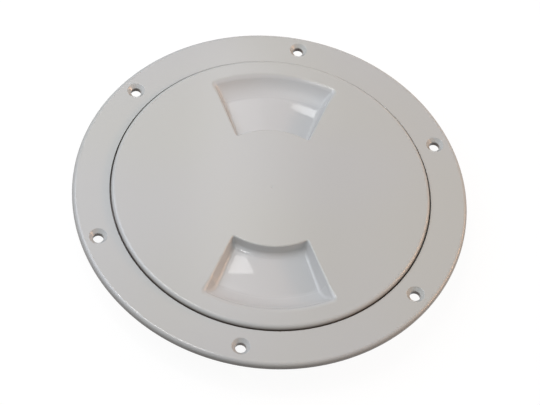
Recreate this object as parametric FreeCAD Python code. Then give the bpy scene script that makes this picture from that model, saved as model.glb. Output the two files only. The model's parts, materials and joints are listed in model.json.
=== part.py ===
# Round screw-in access hatch for a boat deck: a flanged ring that is screwed to
# the deck, a lid that screws into the ring, and the O-ring that seals the two.
#
# Frame: the origin is on the hatch's axis, on the deck surface that the flange
# lies on. +Z points up out of the deck. The two finger pockets lie along Y.
# All lengths are in millimetres and all angles in degrees.

import FreeCAD
import Part

import math
import os

# Lid, seen from above
LID_R = 80.6            # outside radius
LID_RISE = 2.1          # how far the lid's face stands above the flange
LID_EDGE = 2.0          # rounding of the lid's upper edge
PLATE_T = 3.0           # thickness of the lid's plate

# Flange of the deck ring
LID_GAP = 0.8           # open gap between the lid's edge and the recess wall
FLANGE_W = 18.6         # flange width, from the recess wall to the outside
FLANGE_T = 4.2          # flange thickness
FLANGE_EDGE = 2.3       # rounding of the flange's upper outside edge
RECESS_EDGE = 0.6       # bevel of the recess's upper edge
WEB_T = 1.5             # thickness that is left below the recess
HOLE_COUNT = 6
HOLE_INSET = 8.85       # from the flange's outside to the screw circle
HOLE_D = 5.4            # clearance hole for a 5 mm countersunk screw
SINK_D = 9.0            # width of the countersink at the flange's face
SINK_ANGLE = 90.0
HOLE_TURN = 21.95       # where the first screw hole is, round from +X

# Seal
SEAL_D = 2.6            # thickness of the O-ring
SEAL_FIT = 0.15         # room between the O-ring and what it lies against
LIP_W = 1.6             # lid lip outside the O-ring
SEAT_FIT = 0.3          # room between the lid's lip and the ledge in the ring

# Collar, skirt and the thread between them
COLLAR_WALL = 2.7
COLLAR_DEPTH = 17.0     # below the deck surface
COLLAR_BEVEL = 0.8
SKIRT_WALL = 2.6
SKIRT_DEPTH = 13.0      # below the deck surface
SKIRT_BEVEL = 0.6
THREAD_LEAD = 6.0       # rise in one turn; right-handed
THREAD_H = 1.9          # height of each ridge
THREAD_TIP = 1.8        # width of a ridge's crest
THREAD_FLANK = 25.0     # slope of a ridge's sides
CREST_FIT = 0.5         # radial room at each crest
FLANK_FIT = 0.3         # room between the faces that pull the lid down
THREAD_END = 0.2        # plain wall beyond each end of a ridge
THREAD_SINK = 0.4       # how far a ridge is rooted in its wall

# Finger pockets
POCKET_IN_R = 35.3      # edge nearest the middle of the lid
POCKET_MARGIN = 10.3    # from the pocket's outer edge to the lid's rim
POCKET_HALF = 18.5      # half the width at the inner corners
POCKET_SPREAD = 22.3    # angle of each upper side edge to the centre line
POCKET_DEPTH = 6.3
POCKET_FOOT_SPREAD = 18.0   # the same angle at the foot of the sides
POCKET_WALL_DRAFT = 6.0     # lean of the inner wall
POCKET_SIDE_DRAFT = 12.0    # lean of the sides at their inner ends
POCKET_RAMP_R = 13.0    # hollow that brings the floor up at the outer end
POCKET_FLOOR_R = 2.0    # rounding between the floor and the inner wall
POCKET_SIDE_R = 1.2     # rounding along the foot and the inner corners of the sides
POCKET_RIM = 0.5        # bevel of the edge on the lid's face
POCKET_SWEEP = 60.0     # how far each way a pocket's section is turned, past its sides
CUP_WALL = 2.4          # thickness round each pocket, below the plate
CUP_FLATS = 3           # flats for each arc of the section outside that wall

# Ribs under the lid
RIB_T = 1.8
RIB_DROP = 3.2          # how far a rib stands out below the plate
RIB_HUB_R = 11.0        # middle of the round rib that the others run out from
RIB_ANGLES = (0.0, 30.0, 150.0, 180.0, 210.0, 330.0)

# Places that follow from the sizes above
RECESS_R = LID_R + LID_GAP
FLANGE_R = RECESS_R + FLANGE_W
LID_TOP = FLANGE_T + LID_RISE
PLATE_Z = LID_TOP - PLATE_T
LIP_R = LID_R - LIP_W
SEAL_R = LIP_R - SEAL_FIT - SEAL_D / 2
SHOULDER_R = SEAL_R - SEAL_D / 2 - SEAL_FIT
SEAL_Z = WEB_T + SEAL_FIT + SEAL_D / 2
GROOVE_Z = SEAL_Z + SEAL_D / 2 + SEAL_FIT
LIP_Z = WEB_T + SEAT_FIT
THREAD_ROOT_R = SHOULDER_R
THROAT_R = THREAD_ROOT_R - THREAD_H
COLLAR_R = THREAD_ROOT_R + COLLAR_WALL
SKIRT_R = THROAT_R - CREST_FIT
SKIRT_IN_R = SKIRT_R - SKIRT_WALL
POCKET_OUT_R = LID_R - POCKET_MARGIN
POCKET_FLOOR_Z = LID_TOP - POCKET_DEPTH
THREAD_BASE = THREAD_TIP + 2 * THREAD_H * math.tan(math.radians(THREAD_FLANK))
THREAD_ROOM = THREAD_BASE / 2 + THREAD_END

OVER = 2.0              # how far cutting tools run past a face
ROUND_STEP = 30.0       # turn between the flats that a turned rounding is made of
SEAL_STEP = 45.0        # the same for the O-ring


def at(r, z):
    """A point of a turned section."""
    return FreeCAD.Vector(r, 0, z)


def rounding(r, z, radius, start, end, step=ROUND_STEP):
    """Points of a turned section along an arc about (r, z), one step apart."""
    count = round(abs(end - start) / step)
    points = []
    for n in range(count + 1):
        angle = math.radians(start + (end - start) * n / count)
        points.append(at(r + radius * math.cos(angle), z + radius * math.sin(angle)))
    return points


def turned(points):
    """The solid that a closed section leaves when it is turned about Z."""
    face = Part.Face(Part.makePolygon(points + points[:1]))
    return face.revolve(FreeCAD.Vector(), FreeCAD.Vector(0, 0, 1), 360.0)


def thread_ridge(root_r, crest_r, low, high, turn):
    """A helical ridge from height low to high, rooted in the wall at root_r.

    The ridge starts at the angle turn. Its crest points in or out, towards crest_r.
    """
    outward = 1 if crest_r > root_r else -1
    sunk = THREAD_SINK * math.tan(math.radians(THREAD_FLANK))
    half_root = THREAD_BASE / 2 + sunk
    half_tip = THREAD_TIP / 2
    section = Part.makePolygon([
        at(root_r - outward * THREAD_SINK, -half_root),
        at(crest_r, -half_tip),
        at(crest_r, half_tip),
        at(root_r - outward * THREAD_SINK, half_root),
        at(root_r - outward * THREAD_SINK, -half_root),
    ])
    helix = Part.makeHelix(THREAD_LEAD, high - low, root_r)
    ridge = Part.Wire(helix.Edges).makePipeShell([section], True, True)
    ridge.rotate(FreeCAD.Vector(), FreeCAD.Vector(0, 0, 1), turn)
    ridge.translate(FreeCAD.Vector(0, 0, low))
    return ridge


def screw_holes():
    """Countersunk holes through the flange, on one circle."""
    sink_depth = (SINK_D - HOLE_D) / 2 / math.tan(math.radians(SINK_ANGLE / 2))
    above = SINK_D / 2 + OVER * math.tan(math.radians(SINK_ANGLE / 2))
    hole = turned([
        at(0, -OVER),
        at(HOLE_D / 2, -OVER),
        at(HOLE_D / 2, FLANGE_T - sink_depth),
        at(above, FLANGE_T + OVER),
        at(0, FLANGE_T + OVER),
    ])
    hole.translate(FreeCAD.Vector(FLANGE_R - HOLE_INSET, 0, 0))
    tools = []
    for n in range(HOLE_COUNT):
        tool = hole.copy()
        turn = HOLE_TURN + n * 360.0 / HOLE_COUNT
        tool.rotate(FreeCAD.Vector(), FreeCAD.Vector(0, 0, 1), turn)
        tools.append(tool)
    return Part.makeCompound(tools)


def deck_ring():
    """Flange with the recess for the lid, and the threaded collar below it."""
    body = turned([
        at(THREAD_ROOT_R, WEB_T),
        at(RECESS_R, WEB_T),
        at(RECESS_R, FLANGE_T - RECESS_EDGE),
        at(RECESS_R + RECESS_EDGE, FLANGE_T),
        *rounding(FLANGE_R - FLANGE_EDGE, FLANGE_T - FLANGE_EDGE, FLANGE_EDGE, 90, 0),
        at(FLANGE_R, 0),
        at(COLLAR_R, 0),
        at(COLLAR_R, COLLAR_BEVEL - COLLAR_DEPTH),
        at(COLLAR_R - COLLAR_BEVEL, -COLLAR_DEPTH),
        at(THREAD_ROOT_R, -COLLAR_DEPTH),
    ])
    body = body.cut(screw_holes())
    low = -COLLAR_DEPTH + THREAD_ROOM
    ridge = thread_ridge(THREAD_ROOT_R, THROAT_R, low, -THREAD_ROOM, 0.0)
    return body.fuse(ridge)


def lid_thread():
    """The skirt's ridge, which lies below the ring's ridge and pulls against it."""
    overlap = (THREAD_H - CREST_FIT) * math.tan(math.radians(THREAD_FLANK))
    below = THREAD_TIP + overlap + FLANK_FIT
    ring_low = -COLLAR_DEPTH + THREAD_ROOM
    low = -SKIRT_DEPTH + THREAD_ROOM
    high = LIP_Z - THREAD_ROOM
    turn = (low - (ring_low - below)) / THREAD_LEAD * 360.0
    return thread_ridge(SKIRT_R, THREAD_ROOT_R - CREST_FIT, low, high, turn)


def pocket_sides(grow, top, bottom):
    """The room between a pocket's two leaning sides, wider by grow on each side.

    The sides spread less at their foot than at the lid's face.
    """
    lean = math.tan(math.radians(POCKET_SIDE_DRAFT))
    corner_y = math.sqrt(POCKET_IN_R ** 2 - POCKET_HALF ** 2)
    near, far = 0.0, LID_R
    twist = POCKET_SPREAD - POCKET_FOOT_SPREAD
    outlines = []
    for z in (top, bottom):
        spread = math.radians(POCKET_SPREAD + twist * (z - LID_TOP) / POCKET_DEPTH)
        half = POCKET_HALF + (grow + (z - LID_TOP) * lean) / math.cos(spread)
        half_near = half + (near - corner_y) * math.tan(spread)
        half_far = half + (far - corner_y) * math.tan(spread)
        corners = [(-half_near, near), (half_near, near), (half_far, far), (-half_far, far)]
        points = [FreeCAD.Vector(x, y, z) for x, y in corners]
        outlines.append(Part.makePolygon(points + points[:1]))
    return Part.makeLoft(outlines, True, True)


def pocket_section(grow, top):
    """A pocket's long section, up to the height top, larger by grow all round."""
    wall = math.radians(POCKET_WALL_DRAFT)
    floor_z = POCKET_FLOOR_Z - grow
    in_r = POCKET_IN_R - grow / math.cos(wall)
    floor_r = POCKET_FLOOR_R + grow
    ramp_r = POCKET_RAMP_R + grow
    reach = math.sqrt(POCKET_RAMP_R ** 2 - (POCKET_RAMP_R - POCKET_DEPTH) ** 2)
    ramp_start = POCKET_OUT_R - reach
    ramp_mid_z = floor_z + ramp_r

    top_r = in_r - (top - LID_TOP) * math.tan(wall)
    turn = math.pi / 2 - wall
    foot_r = in_r + (LID_TOP - floor_z) * math.tan(wall)
    cut_back = floor_r * math.tan(turn / 2)
    wall_end = at(foot_r - cut_back * math.sin(wall), floor_z + cut_back * math.cos(wall))
    floor_start = at(foot_r + cut_back, floor_z)
    mid_angle = math.pi + wall + turn / 2
    round_mid = at(
        foot_r + cut_back + floor_r * math.cos(mid_angle),
        floor_z + floor_r + floor_r * math.sin(mid_angle),
    )
    end_angle = math.asin((top - ramp_mid_z) / ramp_r)
    half_angle = (end_angle - math.pi / 2) / 2

    def ramp(angle):
        return at(ramp_start + ramp_r * math.cos(angle), ramp_mid_z + ramp_r * math.sin(angle))

    edges = [
        Part.LineSegment(at(top_r, top), wall_end),
        Part.Arc(wall_end, round_mid, floor_start),
        Part.LineSegment(floor_start, at(ramp_start, floor_z)),
        Part.Arc(at(ramp_start, floor_z), ramp(half_angle), ramp(end_angle)),
        Part.LineSegment(ramp(end_angle), at(top_r, top)),
    ]
    return Part.Wire([edge.toShape() for edge in edges])


def pocket_solid(section, grow, top):
    """A pocket's long section turned about the lid's axis, between the pocket's sides."""
    face = Part.Face(section)
    face.rotate(FreeCAD.Vector(), FreeCAD.Vector(0, 0, 1), 90.0 - POCKET_SWEEP)
    swept = face.revolve(FreeCAD.Vector(), FreeCAD.Vector(0, 0, 1), 2 * POCKET_SWEEP)
    return swept.common(pocket_sides(grow, top, POCKET_FLOOR_Z - grow - OVER))


def cup():
    """The outside of the wall round a pocket, with flats for its arcs."""
    top = LID_TOP - PLATE_T / 2
    points = []
    for edge in pocket_section(CUP_WALL, top).OrderedEdges:
        pieces = CUP_FLATS if isinstance(edge.Curve, Part.Circle) else 1
        points += edge.discretize(pieces + 1)[:-1]
    return pocket_solid(Part.makePolygon(points + points[:1]), CUP_WALL, top)


def pocket():
    """A finger pocket with its sides rounded into the floor and the inner wall."""
    top = LID_TOP + OVER / 2
    form = pocket_solid(pocket_section(0.0, top), 0.0, top)
    seams = []
    for edge in form.Edges:
        ends = [v.Point for v in edge.Vertexes]
        one_side = all(p.x * ends[0].x > 0 for p in ends)
        at_top = all(abs(p.z - top) < 1e-4 for p in ends)
        if one_side and not at_top:
            seams.append(edge)
    return form.makeFillet(POCKET_SIDE_R, seams)


def both_ways(shape):
    """A shape and its twin on the other side of the lid."""
    twin = shape.copy()
    twin.rotate(FreeCAD.Vector(), FreeCAD.Vector(0, 0, 1), 180.0)
    return [shape, twin]


def lid_plate():
    """The turned part of the lid: plate, lip, seal groove, shoulder and skirt."""
    return turned([
        at(0, PLATE_Z),
        at(0, LID_TOP),
        *rounding(LID_R - LID_EDGE, LID_TOP - LID_EDGE, LID_EDGE, 90, 0),
        at(LID_R, LIP_Z),
        at(LIP_R, LIP_Z),
        at(LIP_R, GROOVE_Z),
        at(SHOULDER_R, GROOVE_Z),
        at(SHOULDER_R, LIP_Z),
        at(SKIRT_R, LIP_Z),
        at(SKIRT_R, SKIRT_BEVEL - SKIRT_DEPTH),
        at(SKIRT_R - SKIRT_BEVEL, -SKIRT_DEPTH),
        at(SKIRT_IN_R, -SKIRT_DEPTH),
        at(SKIRT_IN_R, PLATE_Z),
    ])


def rim_edges(body):
    """The edges where the finger pockets open on the lid's face."""
    found = []
    for edge in body.Edges:
        box = edge.BoundBox
        flat = abs(box.ZMin - LID_TOP) < 1e-3 and abs(box.ZMax - LID_TOP) < 1e-3
        reach = max(math.hypot(v.Point.x, v.Point.y) for v in edge.Vertexes)
        if flat and reach < POCKET_OUT_R + 1:
            found.append(edge)
    return found


def lid_ribs():
    """A round rib in the middle and straight ones from it to the skirt."""
    low = PLATE_Z - RIB_DROP
    high = PLATE_Z + PLATE_T / 2
    ribs = [turned([
        at(RIB_HUB_R - RIB_T / 2, low),
        at(RIB_HUB_R + RIB_T / 2, low),
        at(RIB_HUB_R + RIB_T / 2, high),
        at(RIB_HUB_R - RIB_T / 2, high),
    ])]
    reach = SKIRT_R - SKIRT_WALL / 2 - RIB_HUB_R
    for angle in RIB_ANGLES:
        rib = Part.makeBox(reach, RIB_T, high - low, FreeCAD.Vector(RIB_HUB_R, -RIB_T / 2, low))
        rib.rotate(FreeCAD.Vector(), FreeCAD.Vector(0, 0, 1), angle)
        ribs.append(rib)
    return ribs


def lid():
    """Lid plate with two finger pockets, ribs below it and the threaded skirt."""
    body = lid_plate().fuse(both_ways(cup()) + lid_ribs()).cut(both_ways(pocket()))
    body = body.makeChamfer(POCKET_RIM, rim_edges(body))
    return body.fuse(lid_thread())


def lid_seal():
    """O-ring, lying in the groove between the lid's lip and its shoulder."""
    section = rounding(SEAL_R, SEAL_Z, SEAL_D / 2, 0, 360, SEAL_STEP)
    return turned(section[:-1])


def main():
    os.makedirs("parts", exist_ok=True)
    for make in (deck_ring, lid, lid_seal):
        shape = make()
        shape.exportStep(os.path.join("parts", make.__name__ + ".step"))
        print(make.__name__, len(shape.Solids), shape.isValid(), round(shape.Volume / 1000, 2))


main()
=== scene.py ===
# Looks of a round screw-in deck access hatch: a flanged ring, the lid with two finger
# pockets that screws into it, and the O-ring between them, under plain studio light.
# Lengths are in metres, in the packed model's frame: the origin is on the hatch's axis at
# the deck surface, and +Z points up out of the deck.

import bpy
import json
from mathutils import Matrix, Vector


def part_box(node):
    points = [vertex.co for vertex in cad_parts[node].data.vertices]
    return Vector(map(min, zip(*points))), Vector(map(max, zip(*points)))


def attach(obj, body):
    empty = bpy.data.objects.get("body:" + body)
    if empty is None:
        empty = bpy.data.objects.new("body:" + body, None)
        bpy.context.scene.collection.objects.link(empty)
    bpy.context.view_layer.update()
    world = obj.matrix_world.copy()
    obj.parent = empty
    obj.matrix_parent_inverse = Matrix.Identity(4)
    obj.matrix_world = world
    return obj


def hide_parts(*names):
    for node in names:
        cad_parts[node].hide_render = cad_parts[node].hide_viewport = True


bl_info = {
    "name": "Deck Access Hatch",
    "version": (1, 0, 0),
    "blender": (4, 5, 0),
    "location": "3D View > Sidebar > Hatch",
    "description": "Builds the looks of a screw-in deck access hatch round its packed model",
    "category": "Object",
}

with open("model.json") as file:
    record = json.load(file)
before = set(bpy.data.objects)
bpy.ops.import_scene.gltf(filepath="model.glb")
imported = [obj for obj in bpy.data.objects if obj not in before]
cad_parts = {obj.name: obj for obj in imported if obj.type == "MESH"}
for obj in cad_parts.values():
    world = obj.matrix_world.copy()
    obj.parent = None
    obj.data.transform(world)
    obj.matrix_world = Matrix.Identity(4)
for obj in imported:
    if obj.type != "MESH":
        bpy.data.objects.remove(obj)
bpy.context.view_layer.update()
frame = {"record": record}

import json
import math

import bmesh
import bpy
import numpy as np
from bpy.props import FloatProperty, FloatVectorProperty, IntProperty, PointerProperty
from mathutils import Matrix, Vector

MM = 0.001

# Sizes that the packed model gives
RING_LOW, RING_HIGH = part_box("deck_ring")
LID_LOW, LID_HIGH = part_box("lid")
SEAL_LOW, SEAL_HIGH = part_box("lid_seal")
MOUNTS = {mount["name"]: mount for mount in frame["record"]["mounts"]}
SCREWS = MOUNTS["screw_holes"]["dims"]
COUPLING = frame["record"]["behaviour"]["couplings"][0]

FLANGE_R = RING_HIGH[0]
FLANGE_TOP = RING_HIGH[2]
COLLAR_END = RING_LOW[2]
COLLAR_R = MOUNTS["collar"]["dims"]["r_mm"] * MM
SCREW_COUNT = SCREWS["count"]
SCREW_CIRCLE_R = SCREWS["pcd_mm"] * MM / 2
SCREW_HOLE_R = SCREWS["hole_r_mm"] * MM
LID_R = LID_HIGH[0]
LID_TOP = LID_HIGH[2]
SKIRT_END = LID_LOW[2]
SEAL_THICKNESS = SEAL_HIGH[2] - SEAL_LOW[2]
SEAL_R = SEAL_HIGH[0] - SEAL_THICKNESS / 2
SEAL_Z = (SEAL_HIGH[2] + SEAL_LOW[2]) / 2
THREAD_LEAD = COUPLING["ratio"] * 2 * math.pi
POCKETS = 2
RIBS_A_SIDE = 3

# How finely the forms are drawn
LATHE_STEPS = 360       # sides of every large turned form
HUB_STEPS = 120
HOLE_STEPS = 64
RIDGE_STEPS = 240       # steps a turn
RIDGE_START = 0.05      # a ridge's size at its very end, as a share of the whole
HALVINGS = 40           # steps in finding a surface
SHARP_ANGLE = math.radians(35)  # faces that meet at more than this keep a sharp edge
WELD = 0.002 * MM       # points that are closer become one
CUT_CLEAR = 0.005 * MM  # how far a cutter's rounding passes the face that it cuts
CUT_PAST = 2 * MM       # how far a cutter runs on beyond what it cuts
# Lines that fan out over a pocket and over its cup, where 1 is the pocket's own upper side
# edge, with the number of steps from each to the next, and the same steps between the rings
POCKET_FAN = (
    (-1.065, -0.98, -0.94, -0.80, 0.80, 0.94, 0.98, 1.065),
    (18, 5, 20, 10, 20, 5, 18),
)
CUP_FAN = (
    (-1.14, -1.02, -0.72, 0.72, 1.02, 1.14),
    (12, 40, 8, 40, 12),
)
POCKET_RING_STEPS = (16, 5, 18, 8, 20, 20)
CUP_RING_STEPS = (16, 22, 6, 16, 22)

# Both ASA and nitrile rubber have about this refractive index
POLYMER_IOR = 1.52
WHITE = (1, 1, 1, 1)
BLACK = (0, 0, 0, 1)

# Painted shade in the gap round the lid, on the flange's lower outer edge, down the screw holes
# and on the lid's side: the distance that bounds it, the share of the plastic that it covers where
# it is thickest, and the heights where it is thickest and where it ends
GAP_PAINTED_SHADE = (LID_R + 1.2 * MM, 0.7, FLANGE_TOP - 2.6 * MM, FLANGE_TOP - 1.0 * MM)
DECK_PAINTED_SHADE = (FLANGE_R - 2.0 * MM, 0.9, 1.0 * MM, FLANGE_TOP)
HOLE_PAINTED_SHADE = (SCREW_HOLE_R + 0.2 * MM, 0.95, FLANGE_TOP - 2.3 * MM, FLANGE_TOP - 1.5 * MM)
RIM_PAINTED_SHADE = (LID_R - 1.5 * MM, 0.8, FLANGE_TOP - 0.4 * MM, FLANGE_TOP + 1.8 * MM)

# Where the lid's finish changes. A pocket's polish and the wear on its ramp each begin at one
# depth below the lid's face and are full at the next
POLISH_DEPTHS = (0.15 * MM, 0.5 * MM)
WEAR_DEPTHS = (1.2 * MM, 1.8 * MM)
WEAR_EARLY = 1 * MM     # how far before the ramp's foot the wear begins
WEAR_RUN = 4 * MM       # length over which it grows from there
LOOKS_UP = 0.05         # the part of a normal that points up where a face counts as looking up
POCKETS_END_R = LID_R - 6 * MM

# The photograph's camera: its place, what it aims at, the way to its right, and its lens and
# film in millimetres
CAMERA_PLACE = (-0.050149, -0.451126, 0.681899)
CAMERA_AIM = (-0.000552, -0.008167, 0.0042)
CAMERA_RIGHT = (0.9961405, 0.0194226, 0.0855976)
CAMERA_LENS = 107.761
CAMERA_FILM = 36.0

FLOOR_HALF = 4.0        # half the floor's width
FLOOR_COLOUR = "#454443"
FLOOR_ROUGH = 0.9
FLOOR_GLOW = 0.94       # what the floor's own glow adds for the camera and in reflections
WORLD_LIGHT = 0.275     # how bright the world is to the object
# Each lamp's bearing from +X and height in degrees, distance, size, brightness and tint
LAMPS = (
    ("left_window", 167, 50, 0.58, (0.45, 0.35), 2.95, "#ECF1FF"),
    ("left_back_softbox", 112, 48, 0.6, (0.35, 0.3), 0.3, "#FFFFFF"),
    ("right_wall", 8, 20, 0.9, (0.7, 0.11), 8.2, "#FFC69A"),
    ("right_softbox", 0, 32, 0.9, (0.5, 0.4), 1.3, "#FFD2AE"),
    ("front_wall", 268, 30, 0.9, (0.5, 0.3), 0.3, "#FFFFFF"),
    ("ceiling_window", 205, 76, 1.0, (0.42, 0.1), 4.5, "#FFFFFF"),
    ("roof_window", 141, 75, 1.0, (0.06, 0.32), 27.0, "#FFFFFF"),
)
# Panes that the pockets' polished floors mirror to the camera: how far away each stands, its
# brightness at the left and at the right, and the corners of its image on the floors
PANES = (
    ("far_window", 0.65, 3.8, 8.5, (
        (0.0090, 0.0550), (0.0180, 0.0592), (0.0300, 0.0560), (0.0270, 0.0474), (0.0163, 0.0512),
    )),
    ("near_window", 0.65, 6.0, 5.0, (
        (-0.0165, -0.0375), (-0.0110, -0.0389), (-0.0071, -0.0475), (-0.0203, -0.0484),
    )),
    ("wall", 0.7, 3.0, 0.0, (
        (-0.036, -0.072), (0.036, -0.072), (0.036, 0.09), (-0.036, 0.09),
    )),
)


def length(name, description, value):
    """A size for a property group, from millimetres."""
    return FloatProperty(
        name=name, description=description, default=value * MM, unit="LENGTH", precision=5
    )


def angle(name, description, value):
    """An angle for a property group, from degrees."""
    return FloatProperty(
        name=name, description=description, default=math.radians(value), subtype="ANGLE"
    )


def roughness(name, description, value):
    """A surface's roughness for a property group."""
    return FloatProperty(
        name=name, description=description, default=value, min=0, max=1, subtype="FACTOR"
    )


def colour(name, description, value):
    """An sRGB hex colour for a property group, kept as linear RGB."""
    return FloatVectorProperty(
        name=name, description=description, default=linear(value)[:3],
        size=3, subtype="COLOR", min=0, max=1,
    )


def linear(hex_colour):
    """Linear RGBA of an sRGB hex colour."""
    parts = [int(hex_colour[n:n + 2], 16) / 255 for n in (1, 3, 5)]
    return *(c / 12.92 if c <= 0.04045 else ((c + 0.055) / 1.055) ** 2.4 for c in parts), 1.0


class HatchThreadSizes(bpy.types.PropertyGroup):
    """The screw thread between the ring's collar and the lid's skirt."""
    root_r: length("Ring root radius", "Inside radius of the ring between the ridges", 76.1)
    height: length("Height", "Height of each ridge", 1.9)
    tip: length("Crest width", "Width of a ridge's crest", 1.8)
    flank: angle("Flank", "Slope of a ridge's sides", 25)
    crest_fit: length("Crest room", "Radial room at each crest", 0.5)
    flank_fit: length("Flank room", "Room between the faces that pull the lid down", 0.3)
    end_room: length("End room", "Plain wall beyond each end of a ridge", 0.2)
    sink: length("Root depth", "How far a ridge is rooted in its wall", 0.4)
    crest_round: length("Crest rounding", "Rounding of a crest's corners", 0.35)
    run_out: angle("Run-out", "Turn over which a ridge's end dies away", 22)


class HatchRingSizes(bpy.types.PropertyGroup):
    """The flanged ring that is screwed to the deck."""
    lid_gap: length("Lid gap", "Open gap between the lid and the recess", 0.65)
    flange_edge: length("Flange edge", "Rounding of the flange's upper outside edge", 2.3)
    flange_foot: length("Flange foot", "Rounding of the flange's lower outside edge", 1.2)
    recess_edge: length("Recess edge", "Rounding of the recess's upper edge", 0.25)
    web: length("Web", "Thickness left below the recess", 1.5)
    fine_edge: length("Fine edge", "Rounding of the edges that a mould leaves", 0.3)
    root_fillet: length("Root fillet", "Fillet between the flange and the collar", 0.7)
    collar_bevel: length("Collar bevel", "Bevel at the collar's lower end", 0.8)
    sink_d: length("Countersink", "Width of a countersink at the flange's face", 9.0)
    sink_angle: angle("Countersink angle", "Full angle of a countersink", 90)
    sink_lip: length("Countersink lip", "Rounding of a countersink's rim", 0.3)
    hole_turn: angle("First hole", "Where the first screw hole is, round from +X", 21.95)


class HatchLidSizes(bpy.types.PropertyGroup):
    """The lid without its finger pockets."""
    edge: length("Lid edge", "Rounding of the lid's upper edge", 2.0)
    plate: length("Plate", "Thickness of the lid's plate", 3.0)
    lip: length("Lip", "Width of the lip outside the O-ring", 1.6)
    seat: length("Lip height", "Lower face of the lip and the shoulder", 1.8)
    seal_fit: length("Seal room", "Room between the O-ring and its groove", 0.15)
    groove_fillet: length("Groove fillet", "Rounding at the top of the seal groove", 0.4)
    skirt_wall: length("Skirt wall", "Thickness of the threaded skirt", 2.6)
    skirt_bevel: length("Skirt bevel", "Bevel at the skirt's lower end", 0.6)
    skirt_fillet: length("Skirt fillet", "Fillet between the skirt and the plate", 1.0)
    fine_edge: length("Fine edge", "Rounding of the edges that a mould leaves", 0.25)
    gate_r: length("Gate radius", "Radius of the moulding gate's mark", 1.05)
    gate_depth: length("Gate depth", "Depth of the moulding gate's mark", 0.22)
    rib_t: length("Rib", "Thickness of a rib at the plate", 1.8)
    rib_tip: length("Rib edge", "Thickness of a rib at its lower edge", 1.4)
    rib_drop: length("Rib drop", "How far a rib stands out below the plate", 3.2)
    rib_round: length("Rib rounding", "Rounding of a rib's lower edges", 0.35)
    rib_hub_r: length("Rib hub", "Middle of the round rib", 11.0)
    rib_step: angle("Rib step", "Angle between neighbouring ribs of a fan", 30)
    cup_fillet: length("Cup fillet", "Fillet between a pocket's cup and the plate", 0.8)


class HatchPocketSizes(bpy.types.PropertyGroup):
    """One of the two finger pockets."""
    in_r: length("Inner edge", "Radius of the edge nearest the middle", 35.3)
    out_r: length("Outer edge", "Radius of the edge nearest the rim", 70.3)
    half: length("Half width", "Half the width at the inner corners", 18.5)
    spread: angle("Spread", "Angle of each upper side edge to the centre line", 22.3)
    foot_spread: angle("Foot spread", "The same angle at the foot of the sides", 18.0)
    depth: length("Depth", "Depth of the pocket's floor", 6.3)
    wall_draft: angle("Wall draft", "Lean of the inner wall", 6)
    side_draft: angle("Side draft", "Lean of the sides at their inner ends", 12)
    ramp_r: length("Ramp radius", "Hollow at the outer end of the floor", 13.0)
    floor_r: length("Floor radius", "Rounding between the floor and the inner wall", 2.0)
    side_r: length("Side radius", "Rounding along the foot of the sides", 1.2)
    rim: length("Rim rounding", "Rounding of the edge on the lid's face", 0.7)
    lip: length("Outer lip", "The same at the outer end, where the floor comes up", 1.7)
    lip_run: length("Lip run", "Length over which the rim grows to the lip", 9.0)
    cup_wall: length("Cup wall", "Thickness round the pocket, below the plate", 2.4)


class HatchSealSizes(bpy.types.PropertyGroup):
    """The O-ring."""
    sides: IntProperty(name="Sides", description="Sides of its section", default=36, min=8)
    flash: length("Flash", "How far the thin line left by the mould stands out", 0.04)


class HatchFinish(bpy.types.PropertyGroup):
    """Colours and finishes."""
    plastic: colour("Plastic", "Warm grey white of the moulding", "#C5C6C4")
    plastic_warm: colour("Plastic, warm", "Where it has yellowed a little", "#C5C6C1")
    # A lighter copy of the plastic for the pockets: a painted reflection of a bright room in their
    # polish
    pocket_painted_reflection: colour("Plastic, painted reflection", "Where it is polished and holds no dirt", "#C8C9C8")
    # The colour of the painted shade in the ring's recess, on its flange's lower edge, in its screw
    # holes and on the lid's side, and of the real dust bloom on the rubber
    shade_and_dust_colour: colour("Painted shade and dust", "What lies in corners and in the gap", "#5E4B3E")
    rubber: colour("Rubber", "Nitrile rubber", "#1C1C1D")
    peel: length("Orange peel", "Height of the moulded skin's fine lumps", 0.004)
    face_rough: roughness("Face roughness", "Satin moulded faces", 0.17)
    pocket_rough: roughness("Pocket roughness", "Polished pockets", 0.02)
    ramp_rough: roughness("Ramp roughness", "Ramps that fingers have worn dull", 0.4)
    rubber_rough: roughness("Rubber roughness", "Matt rubber", 0.62)


def add_node(tree, kind, inputs=None, **settings):
    """Adds a node with its settings, and links or sets its inputs, known by name or by place.

    A list links several things to one input. The node's outputs come back by name.
    """
    node = tree.nodes.new(kind)
    for name, value in settings.items():
        setattr(node, name, value)
    live = [socket for socket in node.inputs if socket.enabled]
    by_name = {socket.name: socket for socket in reversed(live)}
    for key, value in (inputs or {}).items():
        socket = live[key] if isinstance(key, int) else by_name[key]
        for part in value if isinstance(value, list) else [value]:
            if isinstance(part, bpy.types.NodeSocket):
                tree.links.new(part, socket)
            else:
                socket.default_value = part
    return {socket.name: socket for socket in node.outputs if socket.enabled}


def new_tree(name, **sockets):
    """A Geometry Nodes tree with these inputs: the tree, its inputs by name and its output."""
    tree = bpy.data.node_groups.new(name, "GeometryNodeTree")
    for label, kind in sockets.items():
        tree.interface.new_socket(
            plain_label(label), in_out="INPUT", socket_type="NodeSocket" + kind
        )
    tree.interface.new_socket("Geometry", in_out="OUTPUT", socket_type="NodeSocketGeometry")
    return tree, add_node(tree, "NodeGroupInput"), tree.nodes.new("NodeGroupOutput").inputs[0]


def plain_label(keyword):
    """What an input is called in the user's own view."""
    return keyword.replace("_", " ").capitalize()


def shared_tree(name, build):
    """A tree that several pieces use, built once."""
    return bpy.data.node_groups.get(name) or build(name)


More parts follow.
